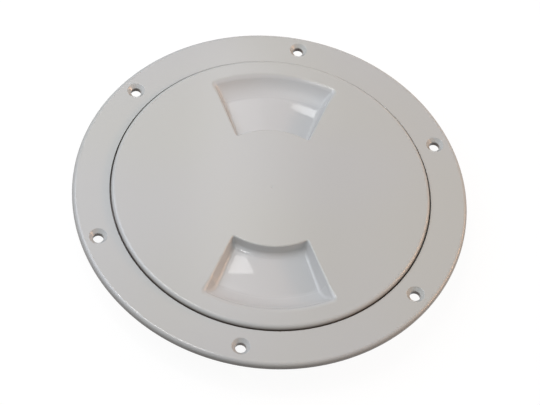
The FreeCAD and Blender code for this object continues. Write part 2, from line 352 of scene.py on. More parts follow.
def turned_tree(name):
    """Turns a section, drawn in the XZ plane, about Z."""
    tree, given, out = new_tree(name, section="Geometry", sides="Int")
    path_r = FLANGE_R / 2
    circle = add_node(tree, "GeometryNodeCurvePrimitiveCircle", {
        "Resolution": given["Sides"], "Radius": path_r,
    })
    path = add_node(tree, "GeometryNodeSetCurveNormal", {"Curve": circle["Curve"]}, mode="Z_UP")
    laid = add_node(tree, "GeometryNodeTransform", {
        "Geometry": given["Section"],
        "Translation": (-path_r, 0, 0),
        "Rotation": (math.radians(90), 0, 0),
    })
    profile = add_node(tree, "GeometryNodeMeshToCurve", {"Mesh": laid["Geometry"]})
    form = add_node(tree, "GeometryNodeCurveToMesh", {
        "Curve": path["Curve"], "Profile Curve": profile["Curve"],
    })
    merged = add_node(tree, "GeometryNodeMergeByDistance", {
        "Geometry": form["Mesh"], "Distance": WELD,
    })
    tree.links.new(merged["Geometry"], out)
    return tree


def copies_tree(name):
    """Repeats a form about Z, each copy one step further round than the last."""
    tree, given, out = new_tree(name, form="Geometry", count="Int", first="Float", step="Float")
    index = add_node(tree, "GeometryNodeInputIndex")["Index"]
    turn = add_node(tree, "ShaderNodeMath", {
        0: index, 1: given["Step"], 2: given["First"],
    }, operation="MULTIPLY_ADD")
    rotation = add_node(tree, "FunctionNodeAxisAngleToRotation", {
        "Axis": (0, 0, 1), "Angle": turn["Value"],
    })
    points = add_node(tree, "GeometryNodeMeshLine", {"Count": given["Count"], "Offset": (0, 0, 0)})
    copies = add_node(tree, "GeometryNodeInstanceOnPoints", {
        "Points": points["Mesh"], "Instance": given["Form"], "Rotation": rotation["Rotation"],
    })
    real = add_node(tree, "GeometryNodeRealizeInstances", {"Geometry": copies["Instances"]})
    tree.links.new(real["Geometry"], out)
    return tree


def ridge_tree(name):
    """A helical ridge whose ends die away into the wall that carries it."""
    tree, given, out = new_tree(
        name,
        radius="Float", lead="Float", low="Float", high="Float", start="Float",
        root_width="Float", crest_width="Float", height="Float", rounding="Float",
        section_turn="Float", section_shift="Float", run_out="Float",
    )
    rise = add_node(tree, "ShaderNodeMath", {
        0: given["High"], 1: given["Low"],
    }, operation="SUBTRACT")["Value"]
    turns = add_node(tree, "ShaderNodeMath", {
        0: rise, 1: given["Lead"],
    }, operation="DIVIDE")["Value"]
    spiral = add_node(tree, "GeometryNodeCurveSpiral", {
        "Resolution": RIDGE_STEPS, "Rotations": turns, "Height": rise,
        "Start Radius": given["Radius"], "End Radius": given["Radius"], "Reverse": True,
    })
    low, start, turn = [add_node(tree, "ShaderNodeCombineXYZ", {
        "Z": given[size],
    })["Vector"] for size in ("Low", "Start", "Section turn")]
    placed = add_node(tree, "GeometryNodeTransform", {
        "Geometry": spiral["Curve"], "Translation": low, "Rotation": start,
    })
    path = add_node(tree, "GeometryNodeSetCurveNormal", {"Curve": placed["Geometry"]}, mode="Z_UP")

    section = add_node(tree, "GeometryNodeCurvePrimitiveQuadrilateral", {
        "Bottom Width": given["Root width"], "Top Width": given["Crest width"],
        "Height": given["Height"], "Offset": 0.0,
    }, mode="TRAPEZOID")
    rounded = add_node(tree, "GeometryNodeFilletCurve", {
        "Curve": section["Curve"], "Count": 3, "Radius": given["Rounding"],
    }, mode="POLY")
    shift = add_node(tree, "ShaderNodeCombineXYZ", {"X": given["Section shift"]})
    profile = add_node(tree, "GeometryNodeTransform", {
        "Geometry": rounded["Curve"], "Translation": shift["Vector"], "Rotation": turn,
    })

    # The ridge swells from each of its ends over the run-out's turn
    along = add_node(tree, "GeometryNodeSplineParameter")["Factor"]
    left = add_node(tree, "ShaderNodeMath", {0: 1.0, 1: along}, operation="SUBTRACT")["Value"]
    nearer = add_node(tree, "ShaderNodeMath", {0: along, 1: left}, operation="MINIMUM")["Value"]
    whole = add_node(tree, "ShaderNodeMath", {
        0: turns, 1: 2 * math.pi,
    }, operation="MULTIPLY")["Value"]
    from_end = add_node(tree, "ShaderNodeMath", {0: nearer, 1: whole}, operation="MULTIPLY")
    swell = add_node(tree, "ShaderNodeMapRange", {
        "Value": from_end["Value"], "From Max": given["Run out"], "To Min": RIDGE_START,
    }, interpolation_type="SMOOTHSTEP")
    ridge = add_node(tree, "GeometryNodeCurveToMesh", {
        "Curve": path["Curve"], "Profile Curve": profile["Geometry"],
        "Scale": swell["Result"], "Fill Caps": True,
    })
    tree.links.new(ridge["Mesh"], out)
    return tree


def end_tree(tree, form, material, out):
    """Ends a piece's tree, with its copies made real and its material set."""
    real = add_node(tree, "GeometryNodeRealizeInstances", {"Geometry": form})
    painted = add_node(tree, "GeometryNodeSetMaterial", {
        "Geometry": real["Geometry"], "Material": material,
    })
    tree.links.new(painted["Geometry"], out)


def ring_tree(name):
    """The deck ring: its turned section, the ridge in its collar and its countersunk holes."""
    tree, given, out = new_tree(
        name,
        section="Geometry", hole_section="Object", screws="Int", screw_circle="Float",
        first_hole="Float", ridge="Object", material="Material",
    )
    hole_section, ridge = [add_node(tree, "GeometryNodeObjectInfo", {
        "Object": given[tool],
    })["Geometry"] for tool in ("Hole section", "Ridge")]
    body, hole = [add_node(tree, "GeometryNodeGroup", {
        "Section": section, "Sides": sides,
    }, node_tree=shared_tree("Turned form", turned_tree))["Geometry"] for section, sides in (
        (given["Section"], LATHE_STEPS), (hole_section, HOLE_STEPS),
    )]
    threaded = add_node(tree, "GeometryNodeMeshBoolean", {
        "Mesh": [body, ridge],
    }, operation="UNION", solver="MANIFOLD")

    out_to = add_node(tree, "ShaderNodeCombineXYZ", {"X": given["Screw circle"]})
    placed = add_node(tree, "GeometryNodeTransform", {
        "Geometry": hole, "Translation": out_to["Vector"],
    })
    step = add_node(tree, "ShaderNodeMath", {
        0: 2 * math.pi, 1: given["Screws"],
    }, operation="DIVIDE")
    holes = add_node(tree, "GeometryNodeGroup", {
        "Form": placed["Geometry"], "Count": given["Screws"],
        "First": given["First hole"], "Step": step["Value"],
    }, node_tree=shared_tree("Copies round the axis", copies_tree))
    drilled = add_node(tree, "GeometryNodeMeshBoolean", {
        "Mesh 1": threaded["Mesh"], "Mesh 2": [holes["Geometry"]],
    }, operation="DIFFERENCE", solver="MANIFOLD")
    end_tree(tree, drilled["Mesh"], given["Material"], out)
    return tree


def seal_tree(name):
    """The O-ring, turned from its section."""
    tree, given, out = new_tree(name, section="Geometry", material="Material")
    body = add_node(tree, "GeometryNodeGroup", {
        "Section": given["Section"], "Sides": LATHE_STEPS,
    }, node_tree=shared_tree("Turned form", turned_tree))
    end_tree(tree, body["Geometry"], given["Material"], out)
    return tree


def lid_tree(name):
    """The lid: plate and skirt, cups and ribs under the plate, the skirt's ridge and pockets."""
    tree, given, out = new_tree(
        name,
        section="Geometry", hub_section="Object", gate_section="Object", rib="Object",
        ribs_a_side="Int", rib_step="Float", ridge="Object", cup="Object", pocket="Object",
        pockets="Int", material="Material",
    )
    hub_section, gate_section, rib, ridge, cup, pocket = [add_node(tree, "GeometryNodeObjectInfo", {
        "Object": given[tool],
    })["Geometry"] for tool in ("Hub section", "Gate section", "Rib", "Ridge", "Cup", "Pocket")]
    body, hub, gate = [add_node(tree, "GeometryNodeGroup", {
        "Section": section, "Sides": sides,
    }, node_tree=shared_tree("Turned form", turned_tree))["Geometry"] for section, sides in (
        (given["Section"], LATHE_STEPS), (hub_section, HUB_STEPS), (gate_section, HOLE_STEPS),
    )]

    # A fan of ribs on each side, its middle rib along X
    copies = shared_tree("Copies round the axis", copies_tree)
    gaps = add_node(tree, "ShaderNodeMath", {
        0: given["Ribs a side"], 1: 1.0,
    }, operation="SUBTRACT")
    spread = add_node(tree, "ShaderNodeMath", {
        0: gaps["Value"], 1: given["Rib step"],
    }, operation="MULTIPLY")
    first = add_node(tree, "ShaderNodeMath", {0: spread["Value"], 1: -0.5}, operation="MULTIPLY")
    fan = add_node(tree, "GeometryNodeGroup", {
        "Form": rib, "Count": given["Ribs a side"],
        "First": first["Value"], "Step": given["Rib step"],
    }, node_tree=copies)["Geometry"]
    step = add_node(tree, "ShaderNodeMath", {
        0: 2 * math.pi, 1: given["Pockets"],
    }, operation="DIVIDE")
    fans, cups, pockets = [add_node(tree, "GeometryNodeGroup", {
        "Form": form, "Count": given["Pockets"], "Step": step["Value"],
    }, node_tree=copies)["Geometry"] for form in (fan, cup, pocket)]

    joined = add_node(tree, "GeometryNodeMeshBoolean", {
        "Mesh": [body, hub, ridge, fans, cups],
    }, operation="UNION", solver="MANIFOLD")
    hollowed = add_node(tree, "GeometryNodeMeshBoolean", {
        "Mesh 1": joined["Mesh"], "Mesh 2": [pockets, gate],
    }, operation="DIFFERENCE", solver="MANIFOLD")
    end_tree(tree, hollowed["Mesh"], given["Material"], out)
    return tree


def arc(r, z, radius, start, end, steps=6):
    """Points of a turned section along an arc about (r, z), between two angles in degrees."""
    turns = np.radians(np.linspace(start, end, steps + 1))
    return [(r + radius * math.cos(t), z + radius * math.sin(t)) for t in turns]


def mesh_object(name, points=(), edges=(), faces=()):
    """An object at the origin with this mesh."""
    mesh = bpy.data.meshes.new(name)
    mesh.from_pydata([tuple(point) for point in points], edges, faces)
    made = bpy.data.objects.new(name, mesh)
    bpy.context.scene.collection.objects.link(made)
    return made


def section_object(name, points, closed=True):
    """A section in the XZ plane, as a line of edges.

    The line runs clockwise, so that its turned form faces outwards.
    """
    following = points[1:] + points[:1]
    if sum(r * next_z - next_r * z for (r, z), (next_r, next_z) in zip(points, following)) > 0:
        points = points[::-1]
    count = len(points)
    edges = [(n, (n + 1) % count) for n in range(count if closed else count - 1)]
    return mesh_object(name, [(r, 0, z) for r, z in points], edges)


def face_outwards(mesh, weld=0.0):
    """Makes one point of those closer than weld, and points a closed mesh's faces outwards."""
    form = bmesh.new()
    form.from_mesh(mesh)
    bmesh.ops.remove_doubles(form, verts=form.verts, dist=weld)
    bmesh.ops.recalc_face_normals(form, faces=form.faces)
    form.to_mesh(mesh)
    form.free()


def plain_mesh(made):
    """Turns what an object's modifiers make into its own mesh, and takes them off."""
    depsgraph = bpy.context.evaluated_depsgraph_get()
    mesh = bpy.data.meshes.new_from_object(made.evaluated_get(depsgraph), depsgraph=depsgraph)
    made.modifiers.clear()
    old, made.data = made.data, mesh
    bpy.data.meshes.remove(old)


def grow(made, tree, **values):
    """Runs a tree on an object with its inputs set, and keeps the result as its mesh."""
    modifier = made.modifiers.new(tree.name, "NODES")
    modifier.node_group = tree
    sockets = {
        item.name: item.identifier for item in tree.interface.items_tree if item.in_out == "INPUT"
    }
    for keyword, value in values.items():
        modifier[sockets[plain_label(keyword)]] = value
    plain_mesh(made)


def finish_mesh(made):
    """Joins what a cut leaves apart, points faces outwards and shades roundings smooth."""
    face_outwards(made.data, WELD)
    made.data.shade_smooth()
    made.data.set_sharp_from_angle(angle=SHARP_ANGLE)
    made.modifiers.new("Flat faces lead", "WEIGHTED_NORMAL").keep_sharp = True
    plain_mesh(made)


def drop(*tools):
    """Removes objects that only served to shape a piece."""
    for tool in tools:
        mesh = tool.data
        bpy.data.objects.remove(tool)
        bpy.data.meshes.remove(mesh)


def ridge_object(thread, radius, low, high, start, side):
    """The ridge on one wall. Its crest faces outwards where side is 1, and inwards at -1."""
    height = thread.height + thread.sink
    ridge = mesh_object("ridge")
    grow(
        ridge, shared_tree("Ridge on a helix", ridge_tree),
        radius=radius, lead=THREAD_LEAD, low=low, high=high, start=start,
        root_width=thread.tip + 2 * height * math.tan(thread.flank), crest_width=thread.tip,
        height=height, rounding=thread.crest_round,
        section_turn=-side * math.radians(90), section_shift=side * (height / 2 - thread.sink),
        run_out=thread.run_out,
    )
    return ridge


def ridge_room(thread):
    """Height between the end of a wall and the middle of the ridge's end."""
    return thread.tip / 2 + thread.height * math.tan(thread.flank) + thread.end_room


def skirt_radii(lid, thread):
    """The skirt's outside and inside radius."""
    outside = thread.root_r - thread.height - thread.crest_fit
    return outside, outside - lid.skirt_wall


def lid_section(lid, thread):
    """The lid's plate and skirt, with the lip and the shoulder on either side of the seal."""
    fine, round_g, round_s = lid.fine_edge, lid.groove_fillet, lid.skirt_fillet
    plate_z = LID_TOP - lid.plate
    lip_r = LID_R - lid.lip
    groove_z = SEAL_Z + SEAL_THICKNESS / 2 + lid.seal_fit
    skirt_r, skirt_in_r = skirt_radii(lid, thread)
    return section_object("lid_moulding", [
        (0, LID_TOP),
        *arc(LID_R - lid.edge, LID_TOP - lid.edge, lid.edge, 90, 0, 12),
        *arc(LID_R - fine, lid.seat + fine, fine, 0, -90, 3),
        *arc(lip_r + fine, lid.seat + fine, fine, 270, 180, 3),
        *arc(lip_r - round_g, groove_z - round_g, round_g, 0, 90, 4),
        *arc(thread.root_r + round_g, groove_z - round_g, round_g, 90, 180, 4),
        *arc(thread.root_r - fine, lid.seat + fine, fine, 0, -90, 3),
        *arc(skirt_r + fine, lid.seat - fine, fine, 90, 180, 3),
        (skirt_r, SKIRT_END + lid.skirt_bevel),
        (skirt_r - lid.skirt_bevel, SKIRT_END),
        *arc(skirt_in_r + fine, SKIRT_END + fine, fine, 270, 180, 3),
        *arc(skirt_in_r - round_s, plate_z - round_s, round_s, 0, 90, 5),
        (0, plate_z),
    ], closed=False)


def rib_objects(lid, thread):
    """The round rib's section and one straight rib along X, both rooted in the plate."""
    plate_z = LID_TOP - lid.plate
    drop_z = plate_z - lid.rib_drop
    foot, tip, round_r = lid.rib_t / 2, lid.rib_tip / 2, lid.rib_round
    half = [
        *arc(tip - round_r, drop_z + round_r, round_r, -90, 0, 4),
        (foot, plate_z),
        (foot, plate_z + lid.plate / 3),
    ]
    outline = half + [(-across, z) for across, z in reversed(half)]
    hub = section_object("hub_section", [(lid.rib_hub_r + across, z) for across, z in outline])

    count = len(outline)
    end_r = skirt_radii(lid, thread)[1] + lid.skirt_wall / 3
    points = [(x, across, z) for x in (lid.rib_hub_r, end_r) for across, z in outline]
    sides = [[n, (n + 1) % count, (n + 1) % count + count, n + count] for n in range(count)]
    ends = [list(range(count)), list(range(count, 2 * count))]
    rib = mesh_object("rib", points, faces=sides + ends)
    face_outwards(rib.data)
    return hub, rib


def graded(stops, steps):
    """Numbers from stop to stop, in so many equal steps each."""
    runs = [np.linspace(a, b, n, endpoint=False) for a, b, n in zip(stops, stops[1:], steps)]
    return np.append(np.concatenate(runs), stops[-1])


def rounded_min(a, b, radius):
    """The smaller of two depths, with the edge where they meet rounded."""
    near = (a < radius) & (b < radius)
    return np.where(near, radius - np.hypot(radius - a, radius - b), np.minimum(a, b))


def pocket_feet(pocket):
    """Radii of the foot of a pocket's inner wall and of the foot of its ramp."""
    wall_foot_r = pocket.in_r + pocket.depth * math.tan(pocket.wall_draft)
    run = math.sqrt(pocket.ramp_r ** 2 - (pocket.ramp_r - pocket.depth) ** 2)
    return wall_foot_r, pocket.out_r - run


def pocket_corner_y(pocket):
    """How far a pocket's two inner corners lie along Y."""
    return math.sqrt(pocket.in_r ** 2 - pocket.half ** 2)


def pocket_depth(pocket, x, y, z):
    """How deep points lie inside a finger pocket's walls, below zero outside them."""
    below = LID_TOP - z
    r = np.hypot(x, y)
    wall = (r - pocket.in_r - below * math.tan(pocket.wall_draft)) * math.cos(pocket.wall_draft)
    floor = pocket.depth - below
    ramp = pocket_feet(pocket)[1] + pocket.ramp_r - r
    along = rounded_min(rounded_min(wall, floor, pocket.floor_r), ramp, pocket.ramp_r)

    spread = pocket.spread - (pocket.spread - pocket.foot_spread) * below / pocket.depth
    drawn_in = below * math.tan(pocket.side_draft) / math.cos(pocket.spread)
    side = pocket.half - drawn_in + (y - pocket_corner_y(pocket)) * np.tan(spread) - np.abs(x)
    side *= np.cos(spread) * math.cos(pocket.side_draft)
    return rounded_min(along, side, pocket.side_r)


def pocket_object(name, pocket, face_z, thickness, grown, roundings, radii, fan):
    """A closed form whose lower side is the flat face at face_z with a pocket sunk into it.

    The pocket's walls stand outwards by grown. The edge where they meet the face is rounded, by
    one radius at the inner wall and by another at the outer end.
    The form is drawn on rings of the given radii, crossed by straight lines that fan out with
    the pocket's sides; 1 in fan is the side's own upper edge.
    """
    slope = math.tan(pocket.spread)
    base = pocket.half + grown / math.cos(pocket.spread) - pocket_corner_y(pocket) * slope
    r, share = np.meshgrid(radii, fan, indexing="ij")
    a, b = share * base, share * slope
    y = (-a * b + np.sqrt(r ** 2 * (1 + b ** 2) - a ** 2)) / (1 + b ** 2)
    x = a + b * y

    edge, lip = roundings
    outer = np.clip((r - pocket.out_r + pocket.lip_run) / pocket.lip_run, 0, 1)
    rounding = edge + (lip - edge) * outer ** 2 * (3 - 2 * outer)
    # The form's lower side follows the upper side of the solid that the pocket is sunk into
    low = np.full(x.shape, LID_TOP - pocket.depth - 2 * grown - edge)
    high = np.full(x.shape, face_z)
    for _ in range(HALVINGS):
        middle = (low + high) / 2
        outside = -pocket_depth(pocket, x, y, middle) - grown
        solid = rounded_min(face_z - middle, outside, rounding) > 0
        low, high = np.where(solid, middle, low), np.where(solid, high, middle)

    # Walls go up round it to a flat top
    number = np.arange(x.size).reshape(x.shape)
    quads = np.stack([number[:-1, :-1], number[:-1, 1:], number[1:, 1:], number[1:, :-1]], -1)
    rim = np.concatenate([
        number[0, :-1], number[:-1, -1], number[-1, :0:-1], number[:0:-1, 0],
    ]).tolist()
    ring = list(range(x.size, x.size + len(rim)))
    walls = [[rim[n - 1], rim[n], ring[n], ring[n - 1]] for n in range(len(rim))]
    points = np.stack([x, y, high], -1).reshape(-1, 3)
    closing = points[rim]
    closing[:, 2] = face_z + thickness
    made = mesh_object(
        name, np.vstack([points, closing]), faces=quads.reshape(-1, 4).tolist() + walls + [ring]
    )
    face_outwards(made.data)
    return made


def pocket_cutter(pocket):
    """What is cut out of the lid for a pocket."""
    wall_foot_r, ramp_foot_r = pocket_feet(pocket)
    rim, lip = pocket.rim, pocket.lip
    return pocket_object(
        "pocket", pocket, LID_TOP + CUT_CLEAR, CUT_PAST, 0.0, (rim, lip),
        graded([
            pocket.in_r - 2 * rim, pocket.in_r, wall_foot_r - rim, wall_foot_r + pocket.floor_r,
            ramp_foot_r, pocket.out_r - lip, pocket.out_r + 1.5 * lip,
        ], POCKET_RING_STEPS),
        graded(*POCKET_FAN),
    )


def pocket_cup(pocket, lid, thread):
    """The wall that goes round a pocket under the lid's plate."""
    wall_foot_r, ramp_foot_r = pocket_feet(pocket)
    wall, fillet = pocket.cup_wall, lid.cup_fillet
    return pocket_object(
        "cup", pocket, LID_TOP - lid.plate + CUT_CLEAR, lid.plate / 2, wall, (fillet, fillet),
        graded([
            pocket.in_r - wall - 3 * fillet, pocket.in_r - wall + fillet,
            wall_foot_r + pocket.floor_r - wall, ramp_foot_r, pocket.out_r - wall,
            thread.root_r - 1 * MM,
        ], CUP_RING_STEPS),
        graded(*CUP_FAN),
    )


def start_material(name):
    """A node material: the material, its tree, its shader's inputs and its place outputs."""
    material = bpy.data.materials.new(name)
    material.use_nodes = True
    tree = material.node_tree
    place = add_node(tree, "ShaderNodeTexCoord")
    return material, tree, tree.nodes["Principled BSDF"].inputs, place


def from_axis(tree, place):
    """How far points of the object lie from its axis, and how high."""
    flat = add_node(tree, "ShaderNodeVectorMath", {
        0: place["Object"], 1: (1, 1, 0),
    }, operation="MULTIPLY")
    r = add_node(tree, "ShaderNodeVectorMath", {0: flat["Vector"]}, operation="LENGTH")["Value"]
    return r, add_node(tree, "ShaderNodeSeparateXYZ", {"Vector": place["Object"]})["Z"]


def moulded_asa(tree, shader, place, finish, skin):
    """Moulded ASA, the weatherproof cousin of ABS, as the tool leaves it: its colour.

    A satin skin, with an orange peel as strong as skin says: highlights are broad and soft,
    and the grey white is a little warmer in places, where the sun has reached it.
    """
    shader["IOR"].default_value = POLYMER_IOR
    shader["Roughness"].default_value = finish.face_rough

    # The mould's orange peel has lumps about 0.9 mm apart and a few microns high
    peel = add_node(tree, "ShaderNodeTexNoise", {
        "Vector": place["Object"], "Scale": 1 / (0.9 * MM), "Detail": 1.0,
    })
    bump = add_node(tree, "ShaderNodeBump", {
        "Height": peel["Fac"], "Strength": skin, "Distance": finish.peel,
    })
    tree.links.new(bump["Normal"], shader["Normal"])

    # Warmer clouds about 60 mm across, with broad soft edges
    clouds = add_node(tree, "ShaderNodeTexNoise", {
        "Vector": place["Object"], "Scale": 1 / (60 * MM), "Detail": 0.0,
    })
    warmth = add_node(tree, "ShaderNodeMapRange", {
        "Value": clouds["Fac"], "From Min": 0.25, "From Max": 0.75,
    }, interpolation_type="SMOOTHSTEP")
    return add_node(tree, "ShaderNodeMix", {
        "Factor": warmth["Result"], "A": (*finish.plastic, 1), "B": (*finish.plastic_warm, 1),
    }, data_type="RGBA")["Result"]


def painted_shade_share(tree, z, places):
    """The share of the plastic that painted shade covers.

    A place is a distance, how it compares with the painted shade's bound, and that shade's own
    table.
    """
    shade_and_dust_share = 0.0
    for distance, test, (bound, most, thick_z, end_z) in places:
        here = add_node(tree, "ShaderNodeMath", {0: distance, 1: bound}, operation=test)
        share = add_node(tree, "ShaderNodeMapRange", {
            "Value": z, "From Min": thick_z, "From Max": end_z, "To Min": most, "To Max": 0.0,
        })
        shade_and_dust_share = add_node(tree, "ShaderNodeMath", {
            0: here["Value"], 1: share["Result"], 2: shade_and_dust_share,
        }, operation="MULTIPLY_ADD")["Value"]
    return shade_and_dust_share


def lay_shade_and_dust(tree, shader, base_colour, shade_and_dust_share, finish):
    """Gives a shader its colour: the base one, mixed towards the shade-and-dust colour by the given
    share, which is painted shade on the plastic and real dust on the rubber.
    """
    shade_and_dust_mixed = add_node(tree, "ShaderNodeMix", {
        "Factor": shade_and_dust_share, "A": base_colour, "B": (*finish.shade_and_dust_colour, 1),
    }, data_type="RGBA")
    tree.links.new(shade_and_dust_mixed["Result"], shader["Base Color"])


def ring_asa(finish):
    """The deck ring's plastic: satin all over, with painted shade in the recess, on the flange's
    lower outer edge and down the screw holes.
    """
    material, tree, shader, place = start_material("moulded_asa_satin")
    plastic = moulded_asa(tree, shader, place, finish, 1.0)
    r, z = from_axis(tree, place)
    past_circle = add_node(tree, "ShaderNodeMath", {
        0: r, 1: SCREW_CIRCLE_R,
    }, operation="SUBTRACT")["Value"]
    from_circle = add_node(tree, "ShaderNodeMath", {0: past_circle}, operation="ABSOLUTE")["Value"]
    # Painted shade in the recess round the lid, on the outer edge near the deck, and down the screw
    # holes
    shade_and_dust_share = painted_shade_share(tree, z, (
        (r, "LESS_THAN", GAP_PAINTED_SHADE),
        (r, "GREATER_THAN", DECK_PAINTED_SHADE),
        (from_circle, "LESS_THAN", HOLE_PAINTED_SHADE),
    ))
    lay_shade_and_dust(tree, shader, plastic, shade_and_dust_share, finish)
    return material


def lid_asa(finish, worn_from):
    """The lid's plastic: satin on its face, with the finger pockets polished in the mould.

    Fingers have worn the pockets' ramps dull, up to the lip that they have rubbed bright. The
    pockets take a lighter copy of the plastic, a painted reflection, and the lid's side a painted
    shade.
    """
    material, tree, shader, place = start_material("moulded_asa_polished_pockets")
    r, z = from_axis(tree, place)

    # A pocket is what lies below the face, looks up and is clear of the rim
    below, down_ramp = [add_node(tree, "ShaderNodeMapRange", {
        "Value": z, "From Min": LID_TOP - full, "From Max": LID_TOP - begins,
        "To Min": 1.0, "To Max": 0.0,
    })["Result"] for begins, full in (POLISH_DEPTHS, WEAR_DEPTHS)]
    up = add_node(tree, "ShaderNodeSeparateXYZ", {"Vector": place["Normal"]})["Z"]
    facing = add_node(tree, "ShaderNodeMapRange", {
        "Value": up, "From Min": 0.0, "From Max": LOOKS_UP,
    })["Result"]
    clear = add_node(tree, "ShaderNodeMath", {0: r, 1: POCKETS_END_R}, operation="LESS_THAN")
    sunk = add_node(tree, "ShaderNodeMath", {0: below, 1: facing}, operation="MULTIPLY")
    in_pocket = add_node(tree, "ShaderNodeMath", {
        0: sunk["Value"], 1: clear["Value"],
    }, operation="MULTIPLY")["Value"]

    # Its ramp is worn from just before its foot to just below its lip
    outwards = add_node(tree, "ShaderNodeMapRange", {
        "Value": r, "From Min": worn_from, "From Max": worn_from + WEAR_RUN,
    })["Result"]
    worn = add_node(tree, "ShaderNodeMath", {0: outwards, 1: down_ramp}, operation="MULTIPLY")
    pocket_rough = add_node(tree, "ShaderNodeMix", {
        "Factor": worn["Value"], "A": finish.pocket_rough, "B": finish.ramp_rough,
    })
    rough = add_node(tree, "ShaderNodeMix", {
        "Factor": in_pocket, "A": finish.face_rough, "B": pocket_rough["Result"],
    })

    skin = add_node(tree, "ShaderNodeMath", {0: 1.0, 1: in_pocket}, operation="SUBTRACT")["Value"]
    plastic = moulded_asa(tree, shader, place, finish, skin)
    tree.links.new(rough["Result"], shader["Roughness"])
    # The pockets take a lighter copy of the plastic: a painted reflection of a bright room in their
    # polish
    base_colour = add_node(tree, "ShaderNodeMix", {
        "Factor": in_pocket, "A": plastic, "B": (*finish.pocket_painted_reflection, 1),
    }, data_type="RGBA")["Result"]
    # Painted shade on the lid's side, down in the gap to the ring
    shade_and_dust_share = painted_shade_share(tree, z, ((r, "GREATER_THAN", RIM_PAINTED_SHADE),))
    lay_shade_and_dust(tree, shader, base_colour, shade_and_dust_share, finish)
    return material


def nitrile_rubber(finish):
    """Moulded nitrile rubber: nearly black and matt, greyed in patches by a dusty bloom."""
    material, tree, shader, place = start_material("nitrile_rubber")
    shader["IOR"].default_value = POLYMER_IOR
    shader["Roughness"].default_value = finish.rubber_rough
    # Bloom in patches about 5 mm across, of which the densest are a quarter dust
    bloom = add_node(tree, "ShaderNodeTexNoise", {
        "Vector": place["Object"], "Scale": 1 / (5 * MM), "Detail": 4.0,
    })
    dusty = add_node(tree, "ShaderNodeMapRange", {
        "Value": bloom["Fac"], "From Min": 0.45, "From Max": 0.8, "To Max": 0.25,
    })
    lay_shade_and_dust(tree, shader, (*finish.rubber, 1), dusty["Result"], finish)
    return material


def white_floor(name):
    """Matt white paper, as bright as the page, on which the object's shadow shows faintly."""
    material, tree, shader, _ = start_material(name)
    shader["Base Color"].default_value = linear(FLOOR_COLOUR)
    shader["Roughness"].default_value = FLOOR_ROUGH
    shader["Emission Color"].default_value = WHITE
    path = add_node(tree, "ShaderNodeLightPath")
    seen = add_node(tree, "ShaderNodeMath", {
        0: path["Is Camera Ray"], 1: path["Is Glossy Ray"],
    }, operation="MAXIMUM")
    glow = add_node(tree, "ShaderNodeMath", {
        0: seen["Value"], 1: FLOOR_GLOW,
    }, operation="MULTIPLY")
    tree.links.new(glow["Value"], shader["Emission Strength"])
    return material


def lit_pane(name, left, right, at_left, at_right):
    """A lit pane, whose brightness changes evenly from its left edge to its right one."""
    material, tree, shader, place = start_material(name)
    shader["Base Color"].default_value = BLACK
    shader["Emission Color"].default_value = WHITE
    x = add_node(tree, "ShaderNodeSeparateXYZ", {"Vector": place["Object"]})["X"]
    glow = add_node(tree, "ShaderNodeMapRange", {
        "Value": x, "From Min": left, "From Max": right, "To Min": at_left, "To Max": at_right,
    })
    tree.links.new(glow["Result"], shader["Emission Strength"])
    return material


def add_pane(name, away, at_left, at_right, corners, floor_z):
    """A pane that only polished surfaces show, where a floor at floor_z mirrors it."""
    places = []
    for x, y in corners:
        spot = Vector((x, y, floor_z))
        ray = (spot - Vector(CAMERA_PLACE)).normalized()
        places.append(spot + away * Vector((ray.x, ray.y, -ray.z)))
    pane = mesh_object(name, places, faces=[tuple(range(len(places)))])
    across = [spot.x for spot in places]
    pane.data.materials.append(lit_pane(name, min(across), max(across), at_left, at_right))
    pane.visible_camera = False
    pane.visible_shadow = False
    pane.visible_diffuse = False


def add_lamp(name, bearing, rise, away, size, radiance, tint):
    """A rectangular lamp that faces the origin, given by how bright its face is."""
    lamp = bpy.data.lights.new(name, "AREA")
    lamp.shape = "RECTANGLE"
    lamp.size, lamp.size_y = size
    lamp.color = linear(tint)[:3]
    lamp.energy = radiance * size[0] * size[1] * math.pi
    made = bpy.data.objects.new(name, lamp)
    bearing, rise = math.radians(bearing), math.radians(rise)
    out = away * math.cos(rise)
    place = Vector((out * math.cos(bearing), out * math.sin(bearing), away * math.sin(rise)))
    made.location = place
    made.rotation_euler = (-place).to_track_quat("-Z", "Y").to_euler()
    bpy.context.scene.collection.objects.link(made)


def studio_world():
    """A world that is white to the camera, in gloss and through glass, and dimmer as a light."""
    world = bpy.data.worlds.new("studio")
    world.use_nodes = True
    tree = world.node_tree
    path = add_node(tree, "ShaderNodeLightPath")
    seen = path["Is Camera Ray"]
    for ray in ("Is Glossy Ray", "Is Transmission Ray"):
        seen = add_node(tree, "ShaderNodeMath", {
            0: seen, 1: path[ray],
        }, operation="MAXIMUM")["Value"]
    strength = add_node(tree, "ShaderNodeMapRange", {
        "Value": seen, "To Min": WORLD_LIGHT, "To Max": 1.0,
    })
    background = tree.nodes["Background"].inputs
    background["Color"].default_value = WHITE
    tree.links.new(strength["Result"], background["Strength"])
    return world


def photo_camera():
    """The camera, where the photographer stood."""
    camera = bpy.data.objects.new("camera", bpy.data.cameras.new("camera"))
    camera.data.lens = CAMERA_LENS
    camera.data.sensor_width = CAMERA_FILM
    back = (Vector(CAMERA_PLACE) - Vector(CAMERA_AIM)).normalized()
    up = back.cross(Vector(CAMERA_RIGHT)).normalized()
    camera.matrix_world = Matrix((up.cross(back), up, back)).transposed().to_4x4()
    camera.location = CAMERA_PLACE
    return camera


